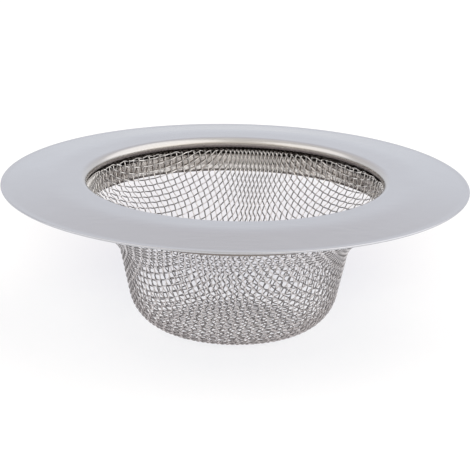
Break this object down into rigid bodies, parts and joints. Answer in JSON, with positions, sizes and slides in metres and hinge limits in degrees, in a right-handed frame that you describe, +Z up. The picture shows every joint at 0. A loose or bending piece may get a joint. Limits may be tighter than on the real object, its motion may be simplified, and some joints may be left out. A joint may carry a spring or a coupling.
{
  "type": "sink strainer",
  "caption": "Round steel sink strainer: wide thin rim with a rolled lip and a deep basket of woven wire that hangs in the drain and catches scraps.",
  "frame": {"origin": "middle of the underside of the basket's floor", "axes": "+Z up along the basket's axis, out of its mouth; X and Y are any two directions across the rim"},
  "size_m": [0.114, 0.114, 0.0375],
  "materials": {
    "rim_steel": "satin",
    "collar_steel": "polished",
    "wire_steel": "drawn wire"
  },
  "bodies": {
    "root": {"rim_flange": "rim_steel", "collar_ring": "collar_steel", "warp_wires": "wire_steel", "weft_wires": "wire_steel"}
  },
  "joints": []
}
